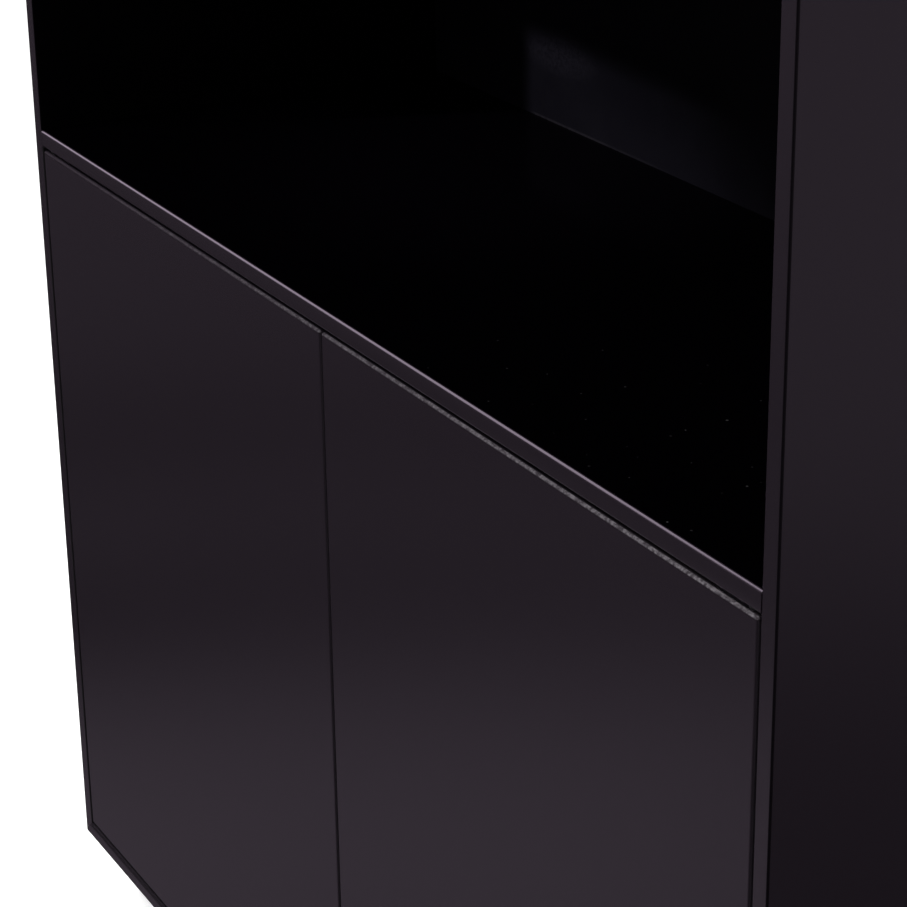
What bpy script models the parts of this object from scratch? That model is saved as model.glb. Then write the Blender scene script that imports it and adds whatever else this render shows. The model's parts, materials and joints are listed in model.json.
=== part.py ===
"""Lacquered cabinet: an open niche over two inset doors that are pushed to open.

Metres, +Z up. The origin is on the floor under the middle of the case, and the doors face -Y.
"""

import math

import bmesh
import bpy
from mathutils import Matrix, Vector

# Overall size
WIDTH = 1.200
DEPTH = 0.430
HEIGHT = 1.300

# Case boards
BOARD = 0.016
PARTITION_BOARD = 0.016
BACK_BOARD = 0.006
LOWER_BAY_HEIGHT = 0.724
ARRIS = 0.0015
NICHE_ARRIS = 0.0025
INNER_ARRIS = 0.0008

# Grooves that hold the back panels
BACK_SETBACK = 0.004
GROOVE_DEPTH = 0.005
GROOVE_PLAY = 0.001

# Loose shelves and the line bores that carry them
SHELF_BOARD = 0.016
SHELF_SETBACK = 0.045
SHELF_PLAY = 0.001
BORE_RADIUS = 0.0025
BORE_DEPTH = 0.0068
BORE_PITCH = 0.032
BORES_IN_A_LINE = 5
BORE_FRONT_INSET = 0.090
BORE_BACK_INSET = 0.060

# Shelf pins
STEM_RADIUS = 0.0022
STEM_LENGTH = 0.0062
COLLAR_RADIUS = 0.0042
COLLAR_THICKNESS = 0.0012
PEG_RADIUS = 0.0030
PEG_LENGTH = 0.0075
PEG_CHAMFER = 0.0006

# Base
PLINTH_HEIGHT = 0.080
PLINTH_INSET = 0.050
PLINTH_BOARD = 0.016
BLOCK_SIZE = 0.040
BLOCK_CHAMFER = 0.014

# Glides under the base
GLIDE_RADIUS = 0.0130
GLIDE_HEIGHT = 0.0050
GLIDE_CHAMFER = 0.0012
GLIDE_STEM_RADIUS = 0.0030
GLIDE_STEM_LENGTH = 0.0180
GLIDE_BORE_PLAY = 0.0005

# Doors
DOOR_BOARD = 0.016
DOOR_SIDE_GAP = 0.003
DOOR_MIDDLE_GAP = 0.003
DOOR_BOTTOM_GAP = 0.003
DOOR_TOP_GAP = 0.003
DOOR_ARRIS = 0.0022

# Pivot hinges let into the boards and the door edges
PIVOT_INSET = 0.012
LEAF_WIDTH = 0.010
LEAF_LENGTH = 0.048
LEAF_THICKNESS = 0.0025
LEAF_SCREW_RADIUS = 0.0017
LEAF_SINK_RADIUS = 0.0033
LEAF_SINK_DEPTH = 0.0016
LEAF_FIRST_SCREW = 0.016
LEAF_SCREW_PITCH = 0.018
LEAF_SCREWS = 2
PIN_RADIUS = 0.0025
PIN_CHAMFER = 0.0006
PIN_DEPTH = 0.0070
PIN_PLAY = 0.0001
PIN_BORE_PLAY = 0.0006
PIN_END_PLAY = 0.0010
WASHER_RADIUS = 0.0048

# Push latches on the partition
PRESS_TRAVEL = 0.0025
LATCH_WIDTH = 0.0135
LATCH_HEIGHT = 0.0165
LATCH_LENGTH = 0.060
LATCH_DROP = 0.034
LATCH_ARRIS = 0.0012
LATCH_COLLAR_RADIUS = 0.0062
LATCH_COLLAR_LENGTH = 0.0016
LATCH_WALL = 0.004
FLANGE_THICKNESS = 0.0028
FLANGE_HEIGHT = 0.036
FLANGE_LENGTH = 0.022
FLANGE_SCREW_RADIUS = 0.0018
PLUNGER_RADIUS = 0.0040
PLUNGER_PLAY = 0.00015
PLUNGER_REACH = 0.0050
PLUNGER_TIP_RADIUS = 0.0034
PLUNGER_TIP_LENGTH = 0.0009
STRIKE_RADIUS = 0.0070
STRIKE_THICKNESS = 0.0012
STRIKE_CHAMFER = 0.0004

# Soft bumpers on the partition's front edge
BUMPER_RADIUS = 0.0055
BUMPER_THICKNESS = 0.0020
BUMPER_INSET = 0.090
BUMPER_CROWN_SHARE = 0.75
BUMPER_EDGE_SHARE = 0.6

# Seat is the small gap kept between pieces that touch
SEAT = 0.0003
OVERRUN = 0.002
MERGE = 0.00001

# Faces on round forms
ARRIS_STEPS = 3
LEAF_END_STEPS = 8
PIN_STEPS = 24
SCREW_STEPS = 16
BORE_STEPS = 12
GLIDE_STEPS = 24
SMOOTH_ANGLE = math.radians(40)

# Places worked out from the sizes
X_SIDE = WIDTH / 2
X_INNER = X_SIDE - BOARD
Y_FRONT = -DEPTH / 2
Y_REAR = DEPTH / 2
Y_BACK_REAR = Y_REAR - BACK_SETBACK
Y_BACK_FRONT = Y_BACK_REAR - BACK_BOARD
Y_DOOR_BACK = Y_FRONT + DOOR_BOARD
Z_BAY_FLOOR = PLINTH_HEIGHT + BOARD
Z_BAY_TOP = Z_BAY_FLOOR + LOWER_BAY_HEIGHT
Z_NICHE_FLOOR = Z_BAY_TOP + BOARD
Z_NICHE_TOP = HEIGHT - BOARD
Z_DOOR_BOTTOM = Z_BAY_FLOOR + DOOR_BOTTOM_GAP
Z_DOOR_TOP = Z_BAY_TOP - DOOR_TOP_GAP
Z_SHELF_PINS = Z_BAY_FLOOR + LOWER_BAY_HEIGHT / 2
X_DOOR_OUTER = X_INNER - DOOR_SIDE_GAP
X_DOOR_INNER = DOOR_MIDDLE_GAP / 2
X_PIVOT = X_DOOR_OUTER - PIVOT_INSET
Y_PIVOT = Y_FRONT + DOOR_BOARD / 2
X_PARTITION = PARTITION_BOARD / 2
Y_PARTITION_FRONT = Y_DOOR_BACK + PRESS_TRAVEL + BUMPER_THICKNESS + SEAT
Y_BORES = (Y_FRONT + BORE_FRONT_INSET, Y_BACK_FRONT - BORE_BACK_INSET)
X_LATCH = X_PARTITION + SEAT + LATCH_WIDTH / 2
Z_LATCH = Z_BAY_TOP - LATCH_DROP
Y_PLUNGER_TIP = Y_DOOR_BACK + STRIKE_THICKNESS + 2 * SEAT
Y_LATCH_FRONT = Y_PLUNGER_TIP + PLUNGER_REACH
PLUNGER_LENGTH = PLUNGER_REACH + LATCH_LENGTH - LATCH_WALL - PRESS_TRAVEL - SEAT
X_PLINTH = X_SIDE - PLINTH_INSET
Y_PLINTH_FRONT = Y_FRONT + PLINTH_INSET
Y_PLINTH_REAR = Y_REAR - PLINTH_INSET
Z_PLINTH_TOP = PLINTH_HEIGHT - SEAT

LEFT = -1
RIGHT = 1
SIDES = {"left": LEFT, "right": RIGHT}


def clear_scene():
    for obj in list(bpy.data.objects):
        bpy.data.objects.remove(obj, do_unlink=True)


def finish(name, colour, roughness, metallic=0.0):
    """A plain surface finish."""
    made = bpy.data.materials.new(name)
    made.use_nodes = True
    shader = made.node_tree.nodes["Principled BSDF"]
    shader.inputs["Base Color"].default_value = (*colour, 1.0)
    shader.inputs["Roughness"].default_value = roughness
    shader.inputs["Metallic"].default_value = metallic
    made.diffuse_color = (*colour, 1.0)
    return made


def finishes():
    return {
        "lacquer": finish("black_lacquer", (0.017, 0.014, 0.018), 0.38),
        "core": finish("black_melamine", (0.014, 0.013, 0.015), 0.55),
        "steel": finish("zinc_steel", (0.55, 0.55, 0.56), 0.35, 1.0),
        "nylon": finish("black_nylon", (0.02, 0.02, 0.021), 0.45),
        "rubber": finish("grey_rubber", (0.10, 0.10, 0.10), 0.7),
    }


# Forms: each returns a bmesh that place() turns into an object


def box_form(low, high):
    low = Vector(low)
    high = Vector(high)
    bm = bmesh.new()
    bmesh.ops.create_cube(bm, size=1.0)
    spread = Matrix.Diagonal((*(high - low), 1.0))
    bmesh.ops.transform(bm, matrix=Matrix.Translation((high + low) / 2) @ spread, verts=bm.verts)
    return bm


def ease(bm, edges, radius):
    """Round the given edges over."""
    bmesh.ops.bevel(
        bm,
        geom=list(edges),
        offset=radius,
        offset_type="OFFSET",
        segments=ARRIS_STEPS,
        profile=0.5,
        affect="EDGES",
    )


def eased_box_form(low, high, radius):
    bm = box_form(low, high)
    ease(bm, bm.edges, radius)
    return bm


def is_at(edge, axis, value):
    """Whether both ends of an edge lie at one coordinate."""
    return all(abs(end.co[axis] - value) < MERGE for end in edge.verts)


def turned_form(profile, steps, closed=False):
    """A solid turned about Z from (radius, height) points; a closed profile makes a ring."""
    bm = bmesh.new()
    points = [bm.verts.new((radius, 0.0, height)) for radius, height in profile]
    pairs = list(zip(points, points[1:]))
    if closed:
        pairs.append((points[-1], points[0]))
    edges = [bm.edges.new(pair) for pair in pairs]
    bmesh.ops.spin(
        bm,
        geom=points + edges,
        axis=(0.0, 0.0, 1.0),
        cent=(0.0, 0.0, 0.0),
        angle=math.tau,
        steps=steps,
        use_merge=True,
    )
    bmesh.ops.remove_doubles(bm, verts=bm.verts, dist=MERGE)
    bmesh.ops.recalc_face_normals(bm, faces=bm.faces)
    return bm


def rod_form(radius, bottom, top, steps):
    return turned_form([(0.0, bottom), (radius, bottom), (radius, top), (0.0, top)], steps)


def raised_form(outline, bottom, top):
    """A solid raised along Z from an outline of (x, y) points."""
    bm = bmesh.new()
    base = bm.faces.new([bm.verts.new((x, y, bottom)) for x, y in outline])
    raised = bmesh.ops.extrude_face_region(bm, geom=[base])
    top_points = [item for item in raised["geom"] if isinstance(item, bmesh.types.BMVert)]
    bmesh.ops.translate(bm, vec=(0.0, 0.0, top - bottom), verts=top_points)
    bmesh.ops.recalc_face_normals(bm, faces=bm.faces)
    return bm


def moved(bm, matrix):
    bmesh.ops.transform(bm, matrix=matrix, verts=bm.verts)
    return bm


def joined(forms):
    """Several separate forms in one mesh, for a cutter."""
    whole = bmesh.new()
    for form in forms:
        scratch = bpy.data.meshes.new("scratch")
        form.to_mesh(scratch)
        form.free()
        whole.from_mesh(scratch)
        bpy.data.meshes.remove(scratch)
    return whole


# Objects


def place(name, bm, surface, origin=(0.0, 0.0, 0.0), parent=None):
    """An object of the form, with its own origin at a place in the world."""
    origin = Vector(origin)
    moved(bm, Matrix.Translation(-origin))
    mesh = bpy.data.meshes.new(name)
    bm.to_mesh(mesh)
    bm.free()
    mesh.materials.append(surface)
    mesh.shade_smooth()
    mesh.set_sharp_from_angle(angle=SMOOTH_ANGLE)
    return place_mesh(name, mesh, Matrix.Translation(origin), parent)


def place_mesh(name, mesh, matrix, parent=None):
    """An object of a mesh, which other objects may share, at a world matrix."""
    obj = bpy.data.objects.new(name, mesh)
    bpy.context.scene.collection.objects.link(obj)
    obj.parent = parent
    if parent:
        obj.matrix_basis = Matrix.Translation(parent.location).inverted() @ matrix
    else:
        obj.matrix_basis = matrix
    return obj


def pivot(name, location):
    """An empty on a joint's axis, which carries the pieces that move with it."""
    empty = bpy.data.objects.new(name, None)
    empty.location = location
    bpy.context.scene.collection.objects.link(empty)
    return empty


def cutter(name, forms, parent=None):
    """A tool that takes material away, and isn't part of the cabinet."""
    mesh = bpy.data.meshes.new(name)
    bm = joined(forms)
    bm.to_mesh(mesh)
    bm.free()
    obj = place_mesh(name, mesh, Matrix(), parent)
    obj.hide_render = True
    obj.display_type = "WIRE"
    return obj


def cut(obj, *tools, operation="DIFFERENCE"):
    for tool in tools:
        modifier = obj.modifiers.new(tool.name, "BOOLEAN")
        modifier.operation = operation
        modifier.solver = "EXACT"
        modifier.object = tool


def finished_mesh(obj):
    """The mesh of an object with its modifiers carried out, for copies to share."""
    depsgraph = bpy.context.evaluated_depsgraph_get()
    mesh = bpy.data.meshes.new_from_object(obj.evaluated_get(depsgraph))
    mesh.shade_smooth()
    mesh.set_sharp_from_angle(angle=SMOOTH_ANGLE)
    tools = [modifier.object for modifier in obj.modifiers]
    for spent in [obj, *tools]:
        bpy.data.objects.remove(spent, do_unlink=True)
    return mesh


# Case


def case_ring():
    """The four outer boards as one ring, eased all round, before the mitres part it."""
    bm = bmesh.new()
    loops = []
    for x, low, high in ((X_SIDE, PLINTH_HEIGHT, HEIGHT), (X_INNER, Z_BAY_FLOOR, Z_NICHE_TOP)):
        corners = ((-x, low), (x, low), (x, high), (-x, high))
        loops.append([bm.verts.new((cx, Y_FRONT, cz)) for cx, cz in corners])
    outer, inner = loops
    front = []
    for i in range(len(outer)):
        j = (i + 1) % len(outer)
        front.append(bm.faces.new((outer[i], outer[j], inner[j], inner[i])))
    raised = bmesh.ops.extrude_face_region(bm, geom=front)
    rear_points = [item for item in raised["geom"] if isinstance(item, bmesh.types.BMVert)]
    bmesh.ops.translate(bm, vec=(0.0, DEPTH, 0.0), verts=rear_points)
    bmesh.ops.recalc_face_normals(bm, faces=bm.faces)
    ease(bm, [edge for edge in bm.edges if is_case_arris(edge)], ARRIS)
    return bm


def is_case_arris(edge):
    """The long edges of the front and rear rims, and the four outer corners."""
    for y in (Y_FRONT, Y_REAR):
        if is_at(edge, 1, y):
            return not is_mitre_line(edge)
    return is_at(edge, 0, -X_SIDE) or is_at(edge, 0, X_SIDE)


def is_mitre_line(edge):
    first, second = (end.co for end in edge.verts)
    return abs(first.x - second.x) > MERGE and abs(first.z - second.z) > MERGE


def keep_inside(bm, point, normal):
    """Take away what lies on the normal's side of a plane, and close the cut."""
    geometry = bm.verts[:] + bm.edges[:] + bm.faces[:]
    cut_rim = bmesh.ops.bisect_plane(
        bm, geom=geometry, dist=MERGE, plane_co=point, plane_no=normal, clear_outer=True
    )
    rim = [item for item in cut_rim["geom_cut"] if isinstance(item, bmesh.types.BMEdge)]
    bmesh.ops.holes_fill(bm, edges=rim, sides=0)


def case_board(name, outward, surface):
    """One outer board: the ring cut through its middle and along its two mitres."""
    bm = case_ring()
    outward = Vector(outward)
    middle = Vector((0.0, 0.0, (PLINTH_HEIGHT + HEIGHT) / 2))
    half = Vector((X_SIDE, 0.0, (HEIGHT - PLINTH_HEIGHT) / 2))
    keep_inside(bm, middle, -outward)
    across = Vector((outward.z, 0.0, outward.x))
    for neighbour in (across, -across):
        corner = middle + half * (outward + neighbour)
        normal = (neighbour - outward).normalized()
        keep_inside(bm, corner - normal * SEAT / 2, normal)
    bmesh.ops.recalc_face_normals(bm, faces=bm.faces)
    origin = middle + half * outward
    return place(name, bm, surface, origin)


def groove_form(low_z, high_z):
    """The room of one back panel, its grooves included."""
    x = X_INNER + GROOVE_DEPTH
    return box_form(
        (-x, Y_BACK_FRONT - SEAT, low_z - GROOVE_DEPTH),
        (x, Y_BACK_REAR + SEAT, high_z + GROOVE_DEPTH),
    )


def back_panel(name, low_z, high_z, surface):
    grip = GROOVE_DEPTH - GROOVE_PLAY
    x = X_INNER + grip
    bm = box_form((-x, Y_BACK_FRONT, low_z - grip), (x, Y_BACK_REAR, high_z + grip))
    return place(name, bm, surface, (0.0, Y_BACK_REAR, low_z))


def bore_places():
    """The line bores of every board face: (face x, way into the board, y, z)."""
    faces = (
        (-X_INNER, LEFT),
        (-X_PARTITION, RIGHT),
        (X_PARTITION, LEFT),
        (X_INNER, RIGHT),
    )
    middle = (BORES_IN_A_LINE - 1) / 2
    for x, way in faces:
        for y in Y_BORES:
            for i in range(BORES_IN_A_LINE):
                yield x, way, y, Z_SHELF_PINS + (i - middle) * BORE_PITCH


def along_x(x, way, y, z):
    """A frame at a place whose +Z points along X the given way."""
    return Matrix.Translation((x, y, z)) @ Matrix.Rotation(way * math.pi / 2, 4, "Y")


def shelf_bore_forms():
    return [
        moved(rod_form(BORE_RADIUS, -OVERRUN, BORE_DEPTH, BORE_STEPS), along_x(*bore))
        for bore in bore_places()
    ]


def niche_floor(surface):
    """The fixed board over the doors; its front arrises catch the light."""
    x = X_INNER - SEAT
    bm = box_form((-x, Y_FRONT, Z_BAY_TOP), (x, Y_REAR, Z_NICHE_FLOOR))
    long_edges = [edge for edge in bm.edges if is_at(edge, 1, Y_FRONT) and not is_upright(edge)]
    ease(bm, long_edges, NICHE_ARRIS)
    return place("niche_floor", bm, surface, (0.0, Y_FRONT, Z_BAY_TOP))


def is_upright(edge):
    first, second = (end.co for end in edge.verts)
    return abs(first.z - second.z) > MERGE


def centre_partition(surface):
    bm = eased_box_form(
        (-X_PARTITION, Y_PARTITION_FRONT, Z_BAY_FLOOR + SEAT),
        (X_PARTITION, Y_BACK_FRONT - SEAT, Z_BAY_TOP - SEAT),
        INNER_ARRIS,
    )
    return place("centre_partition", bm, surface, (0.0, Y_PARTITION_FRONT, Z_BAY_FLOOR))


def case(surfaces):
    lacquer = surfaces["lacquer"]
    boards = {
        "left_side_panel": (-1.0, 0.0, 0.0),
        "right_side_panel": (1.0, 0.0, 0.0),
        "top_panel": (0.0, 0.0, 1.0),
        "bottom_panel": (0.0, 0.0, -1.0),
    }
    made = {name: case_board(name, outward, lacquer) for name, outward in boards.items()}
    made["niche_floor"] = niche_floor(lacquer)
    made["centre_partition"] = centre_partition(surfaces["core"])
    back_panel("niche_back_panel", Z_NICHE_FLOOR, Z_NICHE_TOP, lacquer)
    back_panel("lower_back_panel", Z_BAY_FLOOR, Z_BAY_TOP, surfaces["core"])

    grooves = cutter(
        "cut_grooves",
        [groove_form(Z_BAY_FLOOR, Z_BAY_TOP), groove_form(Z_NICHE_FLOOR, Z_NICHE_TOP)],
    )
    mortises = cutter(
        "cut_case_mortises",
        [moved(mortise_form(), case_leaf_frame(way, end)) for way in SIDES.values() for end in ENDS],
    )
    bores = cutter("cut_shelf_bores", shelf_bore_forms())
    cut(made["left_side_panel"], grooves, bores)
    cut(made["right_side_panel"], grooves, bores)
    cut(made["top_panel"], grooves)
    cut(made["bottom_panel"], grooves, mortises)
    cut(made["niche_floor"], grooves, mortises)
    cut(made["centre_partition"], bores)


# Shelves


def shelf_pin_mesh(surface):
    """Stem in the bore, collar on the board's face, chamfered peg under the shelf; the collar starts at 0."""
    end = COLLAR_THICKNESS + PEG_LENGTH
    profile = [
        (0.0, -STEM_LENGTH),
        (STEM_RADIUS, -STEM_LENGTH),
        (STEM_RADIUS, 0.0),
        (COLLAR_RADIUS, 0.0),
        (COLLAR_RADIUS, COLLAR_THICKNESS),
        (PEG_RADIUS, COLLAR_THICKNESS),
        (PEG_RADIUS, end - PEG_CHAMFER),
        (PEG_RADIUS - PEG_CHAMFER, end),
        (0.0, end),
    ]
    obj = place("shelf_pin", turned_form(profile, BORE_STEPS), surface)
    return finished_mesh(obj)


def shelf(side, way, surface):
    outer = X_INNER - SHELF_PLAY
    inner = X_PARTITION + SHELF_PLAY
    # The collar of a pin is proud of the board's face, and the shelf passes over it
    underside = Z_SHELF_PINS + COLLAR_RADIUS + SEAT
    low_x, high_x = sorted((way * outer, way * inner))
    bm = eased_box_form(
        (low_x, Y_FRONT + SHELF_SETBACK, underside),
        (high_x, Y_BACK_FRONT - SHELF_PLAY, underside + SHELF_BOARD),
        INNER_ARRIS,
    )
    place(f"{side}_shelf", bm, surface, (way * (outer + inner) / 2, 0.0, underside))


def shelves(surfaces):
    pin_mesh = shelf_pin_mesh(surfaces["steel"])
    for side, way in SIDES.items():
        shelf(side, way, surfaces["core"])
        places = {"outer": (way * (X_INNER - SEAT), -way), "inner": (way * (X_PARTITION + SEAT), way)}
        for edge, (x, out) in places.items():
            for depth, y in zip(("front", "back"), Y_BORES):
                frame = along_x(x, out, y, Z_SHELF_PINS)
                place_mesh(f"{side}_shelf_pin_{edge}_{depth}", pin_mesh, frame)


# Base


def plinth_rail(name, low_x, high_x, low_y, high_y, surface):
    bm = box_form((low_x, low_y, GLIDE_HEIGHT), (high_x, high_y, Z_PLINTH_TOP))
    ease(bm, [edge for edge in bm.edges if is_upright(edge)], INNER_ARRIS)
    middle = ((low_x + high_x) / 2, (low_y + high_y) / 2, GLIDE_HEIGHT)
    return place(name, bm, surface, middle)


def corner_block(name, way_x, way_y, surface):
    """A square block with its free corner cut off, standing in a corner of the plinth."""
    x = X_PLINTH - PLINTH_BOARD - SEAT
    y = Y_PLINTH_REAR - PLINTH_BOARD - SEAT
    far_x = x - BLOCK_SIZE
    far_y = y - BLOCK_SIZE
    quarter = [
        (x, y),
        (far_x, y),
        (far_x, far_y + BLOCK_CHAMFER),
        (far_x + BLOCK_CHAMFER, far_y),
        (x, far_y),
    ]
    outline = [(way_x * px, way_y * py) for px, py in quarter]
    bm = raised_form(outline, GLIDE_HEIGHT, Z_PLINTH_TOP)
    return place(name, bm, surface, (way_x * x, way_y * y, GLIDE_HEIGHT))


def glide_places():
    """Under the four corner blocks and both ends of the middle rail."""
    x = X_PLINTH - PLINTH_BOARD - SEAT - BLOCK_SIZE / 2
    y = Y_PLINTH_REAR - PLINTH_BOARD - SEAT - BLOCK_SIZE / 2
    places = {}
    for depth, way_y in (("front", -1), ("back", 1)):
        for side, way_x in (("left", LEFT), ("middle", 0), ("right", RIGHT)):
            places[f"{depth}_{side}"] = (way_x * x, way_y * y, 0.0)
    return places


def glide_mesh(surface):
    """A round foot with a stem that is driven up into the wood."""
    top = GLIDE_HEIGHT - SEAT
    profile = [
        (0.0, 0.0),
        (GLIDE_RADIUS - GLIDE_CHAMFER, 0.0),
        (GLIDE_RADIUS, GLIDE_CHAMFER),
        (GLIDE_RADIUS, top),
        (GLIDE_STEM_RADIUS, top),
        (GLIDE_STEM_RADIUS, top + GLIDE_STEM_LENGTH - GLIDE_STEM_RADIUS),
        (0.0, top + GLIDE_STEM_LENGTH),
    ]
    return finished_mesh(place("glide", turned_form(profile, GLIDE_STEPS), surface))


def base(surfaces):
    lacquer = surfaces["lacquer"]
    inner_x = X_PLINTH - PLINTH_BOARD
    inner_front = Y_PLINTH_FRONT + PLINTH_BOARD
    inner_rear = Y_PLINTH_REAR - PLINTH_BOARD
    plinth_rail("plinth_front_rail", -X_PLINTH, X_PLINTH, Y_PLINTH_FRONT, inner_front, lacquer)
    plinth_rail("plinth_back_rail", -X_PLINTH, X_PLINTH, inner_rear, Y_PLINTH_REAR, lacquer)
    low_y = inner_front + SEAT
    high_y = inner_rear - SEAT
    plinth_rail("plinth_left_rail", -X_PLINTH, -inner_x, low_y, high_y, lacquer)
    plinth_rail("plinth_right_rail", inner_x, X_PLINTH, low_y, high_y, lacquer)
    half = PLINTH_BOARD / 2
    middle = plinth_rail("plinth_middle_rail", -half, half, low_y, high_y, surfaces["core"])

    bore_top = GLIDE_HEIGHT + GLIDE_STEM_LENGTH + GLIDE_BORE_PLAY
    bore_radius = GLIDE_STEM_RADIUS + GLIDE_BORE_PLAY
    forms = []
    mesh = glide_mesh(surfaces["nylon"])
    for name, spot in glide_places().items():
        place_mesh(f"glide_{name}", mesh, Matrix.Translation(spot))
        bore = rod_form(bore_radius, 0.0, bore_top, BORE_STEPS)
        forms.append(moved(bore, Matrix.Translation(spot)))
    bores = cutter("cut_glide_bores", forms)
    cut(middle, bores)
    for side, way_x in SIDES.items():
        for depth, way_y in (("front", -1), ("back", 1)):
            name = f"corner_block_{depth}_{side}"
            cut(corner_block(name, way_x, way_y, surfaces["core"]), bores)


# Pivot hinges. A leaf's own frame has the pin's axis on Z, the face towards the gap at 0
# and the leaf below it, running along +X

ENDS = {"top": 1, "bottom": -1}


def leaf_outline(margin):
    """A strip with round ends, the first one centred on the pin."""
    radius = LEAF_WIDTH / 2 + margin
    reach = LEAF_LENGTH - LEAF_WIDTH
    outline = []
    for centre_x, start in ((0.0, math.pi / 2), (reach, -math.pi / 2)):
        for i in range(LEAF_END_STEPS + 1):
            angle = start + math.pi * i / LEAF_END_STEPS
            outline.append((centre_x + radius * math.cos(angle), radius * math.sin(angle)))
    return outline


def mortise_form():
    """The recess that a leaf is let into, open towards the gap."""
    return raised_form(leaf_outline(SEAT), -LEAF_THICKNESS - SEAT, OVERRUN)


def leaf_mesh(surface):
    """A strip with a round hole for the pin and two countersunk screw holes."""
    obj = place("leaf", raised_form(leaf_outline(0.0), -LEAF_THICKNESS, 0.0), surface)
    low = -LEAF_THICKNESS - OVERRUN
    holes = [rod_form(PIN_RADIUS + PIN_PLAY, low, OVERRUN, PIN_STEPS)]
    for i in range(LEAF_SCREWS):
        sink = [
            (0.0, low),
            (LEAF_SCREW_RADIUS, low),
            (LEAF_SCREW_RADIUS, -LEAF_SINK_DEPTH),
            (LEAF_SINK_RADIUS, 0.0),
            (LEAF_SINK_RADIUS, OVERRUN),
            (0.0, OVERRUN),
        ]
        shift = Matrix.Translation((LEAF_FIRST_SCREW + i * LEAF_SCREW_PITCH, 0.0, 0.0))
        holes.append(moved(turned_form(sink, SCREW_STEPS), shift))
    cut(obj, cutter("cut_leaf", holes))
    return finished_mesh(obj)


def leaf_frame(way, z, gap_is_up):
    """A leaf on the pivot axis of one door, running towards the door's free edge."""
    turn = Matrix.Rotation(0.0 if way == LEFT else math.pi, 4, "Z")
    flip = Matrix.Rotation(0.0 if gap_is_up else math.pi, 4, "X")
    return Matrix.Translation((way * X_PIVOT, Y_PIVOT, z)) @ turn @ flip


def case_leaf_frame(way, end):
    if end == "top":
        return leaf_frame(way, Z_BAY_TOP, gap_is_up=False)
    return leaf_frame(way, Z_BAY_FLOOR, gap_is_up=True)


def door_leaf_frame(way, end):
    if end == "top":
        return leaf_frame(way, Z_DOOR_TOP, gap_is_up=True)
    return leaf_frame(way, Z_DOOR_BOTTOM, gap_is_up=False)


def end_gap(end):
    return DOOR_TOP_GAP if end == "top" else DOOR_BOTTOM_GAP


def pin_form(end):
    """Riveted into the case leaf, across the gap and down through the door leaf."""
    tip = end_gap(end) + LEAF_THICKNESS + PIN_DEPTH
    profile = [
        (0.0, -LEAF_THICKNESS),
        (PIN_RADIUS, -LEAF_THICKNESS),
        (PIN_RADIUS, tip - PIN_CHAMFER),
        (PIN_RADIUS - PIN_CHAMFER, tip),
        (0.0, tip),
    ]
    return turned_form(profile, PIN_STEPS)


def washer_form(end):
    bore = PIN_RADIUS + PIN_PLAY
    top = end_gap(end) - SEAT
    profile = [(bore, SEAT), (WASHER_RADIUS, SEAT), (WASHER_RADIUS, top), (bore, top)]
    return turned_form(profile, PIN_STEPS, closed=True)


def pin_bore_form():
    """Below a door leaf, in the leaf's own frame."""
    depth = LEAF_THICKNESS + PIN_DEPTH + PIN_END_PLAY
    return rod_form(PIN_RADIUS + PIN_BORE_PLAY, -depth, -LEAF_THICKNESS / 2, PIN_STEPS)


def hinges(side, way, door_pivot, surfaces):
    mesh = leaf_mesh(surfaces["steel"])
    for end in ENDS:
        case_frame = case_leaf_frame(way, end)
        place_mesh(f"{side}_{end}_case_leaf", mesh, case_frame)
        place_mesh(f"{side}_{end}_door_leaf", mesh, door_leaf_frame(way, end), door_pivot)
        axis = (way * X_PIVOT, Y_PIVOT, Z_BAY_TOP if end == "top" else Z_BAY_FLOOR)
        pin = moved(pin_form(end), case_frame)
        place(f"{side}_{end}_pivot_pin", pin, surfaces["steel"], axis)
        washer = moved(washer_form(end), case_frame)
        place(f"{side}_{end}_washer", washer, surfaces["nylon"], axis)


# Doors


def door(side, way, door_pivot, surfaces):
    low_x, high_x = sorted((way * X_DOOR_OUTER, way * X_DOOR_INNER))
    bm = eased_box_form(
        (low_x, Y_FRONT, Z_DOOR_BOTTOM), (high_x, Y_DOOR_BACK, Z_DOOR_TOP), DOOR_ARRIS
    )
    leaf = place(f"{side}_door", bm, surfaces["lacquer"], door_pivot.location, door_pivot)
    forms = []
    for end in ENDS:
        frame = door_leaf_frame(way, end)
        shift = Matrix.Translation(-door_pivot.location)
        forms.append(moved(mortise_form(), shift @ frame))
        forms.append(moved(pin_bore_form(), shift @ frame))
    for name, pair in (("mortises", forms[0::2]), ("bores", forms[1::2])):
        tool = cutter(f"cut_{side}_door_{name}", pair)
        tool.parent = door_pivot
        cut(leaf, tool)


def along_y(x, y, z):
    """A frame at a place whose +Z points back into the cabinet."""
    return Matrix.Translation((x, y, z)) @ Matrix.Rotation(-math.pi / 2, 4, "X")


def strike_plate(side, way, door_pivot, surface):
    """A steel disc on the door's back that the latch's magnet holds."""
    profile = [
        (0.0, 0.0),
        (STRIKE_RADIUS, 0.0),
        (STRIKE_RADIUS, STRIKE_THICKNESS - STRIKE_CHAMFER),
        (STRIKE_RADIUS - STRIKE_CHAMFER, STRIKE_THICKNESS),
        (0.0, STRIKE_THICKNESS),
    ]
    spot = (way * X_LATCH, Y_DOOR_BACK + SEAT, Z_LATCH)
    bm = moved(turned_form(profile, PIN_STEPS), along_y(*spot))
    place(f"{side}_strike_plate", bm, surface, spot, door_pivot)


# Push latches


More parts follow.
